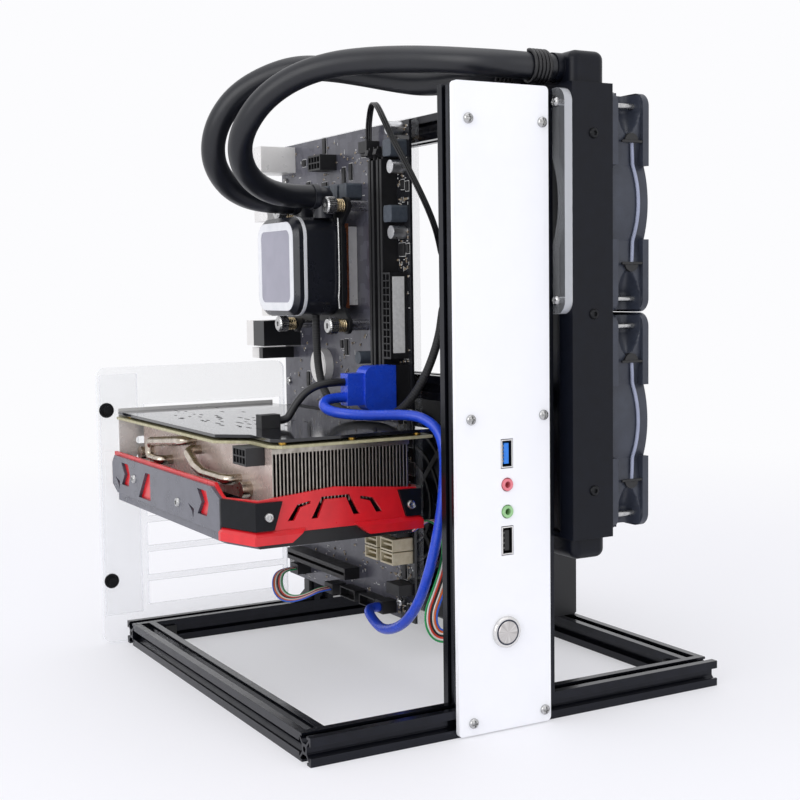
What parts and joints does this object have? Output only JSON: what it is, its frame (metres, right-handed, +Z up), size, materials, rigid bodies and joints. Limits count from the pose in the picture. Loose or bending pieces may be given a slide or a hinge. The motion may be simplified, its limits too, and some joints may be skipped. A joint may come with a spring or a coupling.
{
  "type": "open air test bench",
  "caption": "Open frame computer bench of slotted rails with a standing board, liquid cooler, fan radiator, graphics card and power supply.",
  "frame": {"origin": "centre of the bench's box at table level, cords left out", "axes": "+X towards the power supply, +Y to the rear plate, +Z up"},
  "size_m": [0.284, 0.306, 0.3762],
  "materials": {
    "rail_black": "black anodised extrusion",
    "angle_black": "black powder coat",
    "screw_steel": "nickel plated steel",
    "screw_black": "black oxide",
    "panel_white": "white acrylic sheet",
    "acrylic_clear": "clear acrylic sheet with polished edges",
    "port_steel": "stamped steel shells",
    "button_steel": "radially brushed steel",
    "board_black": "black solder mask",
    "brass": "turned brass",
    "socket_black": "moulded nylon",
    "socket_cream": "moulded nylon",
    "socket_grey": "stamped steel frame",
    "cell_steel": "stamped steel",
    "choke_grey": "pressed ferrite and aluminium cans",
    "copper": "copper",
    "pump_black": "black moulded plastic",
    "pump_grey": "grey face with a white ring",
    "radiator_black": "black paint on aluminium",
    "fan_grey": "dark grey moulded plastic",
    "card_board": "circuit board",
    "card_black": "glossy black plate",
    "fin_aluminium": "folded aluminium fins",
    "shroud_red": "red lacquered plastic",
    "trim_grey": "dark grey plastic",
    "case_black": "black powder coat",
    "hose_rubber": "smooth black rubber",
    "cable_blue": "blue PVC",
    "cable_black": "black PVC and braid",
    "ribbon": "coloured ribbon of single wires"
  },
  "bodies": {
    "bench": {"cross_rails": "rail_black", "side_rails": "rail_black", "uprights": "rail_black", "tray_rails": "rail_black", "corner_brackets": "angle_black", "pan_screws": "screw_steel", "front_panel": "panel_white", "front_ports": "port_steel", "io_board": "board_black", "button_housing": "button_steel", "board_tray": "acrylic_clear", "standoffs": "brass", "motherboard": "board_black", "io_ports": "port_steel", "cpu_socket": "socket_grey", "dimm_slots": "socket_black", "board_sockets": "socket_black", "pcie_slots": "socket_black", "coin_cell": "cell_steel", "power_parts": "choke_grey", "cold_plate": "copper", "pump_body": "pump_black", "pump_cap": "pump_grey", "pump_bracket": "angle_black", "pump_screws": "screw_steel", "radiator_bracket": "acrylic_clear", "radiator_frame": "radiator_black", "radiator_core": "radiator_black", "fan_frames": "fan_grey", "fan_screws": "screw_steel", "gpu_board": "card_board", "gpu_backplate": "card_black", "gpu_fins": "fin_aluminium", "gpu_heat_pipes": "copper", "gpu_shroud": "shroud_red", "gpu_trim": "trim_grey", "gpu_bracket": "port_steel", "gpu_power_socket": "socket_black", "psu_case": "case_black", "psu_grille": "case_black", "rear_plate": "acrylic_clear", "plate_screws": "screw_black", "plugs": "cable_blue", "hose_front": "hose_rubber", "hose_back": "hose_rubber", "usb_cable": "cable_blue", "usb_lead": "cable_black", "sleeved_lead": "cable_black", "fan_lead": "cable_black", "ribbon_cable": "ribbon", "jumper_ribbon": "ribbon"},
    "upper_fan": {"fan_rotor_upper": "fan_grey"},
    "lower_fan": {"fan_rotor_lower": "fan_grey"},
    "card_fan_front": {"gpu_rotor_front": "fan_grey"},
    "card_fan_rear": {"gpu_rotor_rear": "fan_grey"},
    "supply_fan": {"psu_rotor": "fan_grey"},
    "power_button": {"button_cap": "button_steel"},
    "latch_front": {"dimm_latch_front": "socket_black"},
    "latch_rear": {"dimm_latch_rear": "socket_black"},
    "supply_switch": {"psu_switch": "socket_black"}
  },
  "joints": [
    {"name": "upper_fan_spin", "type": "hinge", "parent": "bench", "child": "upper_fan", "pos_m": [0.069, -0.093, 0.2835], "axis": [1, 0, 0], "continuous": true},
    {"name": "lower_fan_spin", "type": "hinge", "parent": "bench", "child": "lower_fan", "pos_m": [0.069, -0.093, 0.1635], "axis": [1, 0, 0], "continuous": true},
    {"name": "card_fan_front_spin", "type": "hinge", "parent": "bench", "child": "card_fan_front", "pos_m": [-0.076, -0.02, 0.104], "axis": [0, 0, 1], "continuous": true},
    {"name": "card_fan_rear_spin", "type": "hinge", "parent": "bench", "child": "card_fan_rear", "pos_m": [-0.076, 0.074, 0.104], "axis": [0, 0, 1], "continuous": true},
    {"name": "supply_fan_spin", "type": "hinge", "parent": "bench", "child": "supply_fan", "pos_m": [0.067, 0.071, 0.09], "axis": [1, 0, 0], "continuous": true},
    {"name": "power_button_press", "type": "slide", "parent": "bench", "child": "power_button", "axis": [0, 1, 0], "range_m": [0, 0.0015], "stiffness_N_per_m": 400},
    {"name": "latch_front_open", "type": "hinge", "parent": "bench", "child": "latch_front", "pos_m": [-0.0067, -0.01375, 0.32], "axis": [0, 1, 0], "range_deg": [0, 35]},
    {"name": "latch_rear_open", "type": "hinge", "parent": "bench", "child": "latch_rear", "pos_m": [-0.0067, -0.00325, 0.32], "axis": [0, 1, 0], "range_deg": [0, 35]},
    {"name": "supply_switch_rock", "type": "hinge", "parent": "bench", "child": "supply_switch", "pos_m": [0.124, 0.143, 0.134], "axis": [1, 0, 0], "range_deg": [-10, 10]}
  ]
}
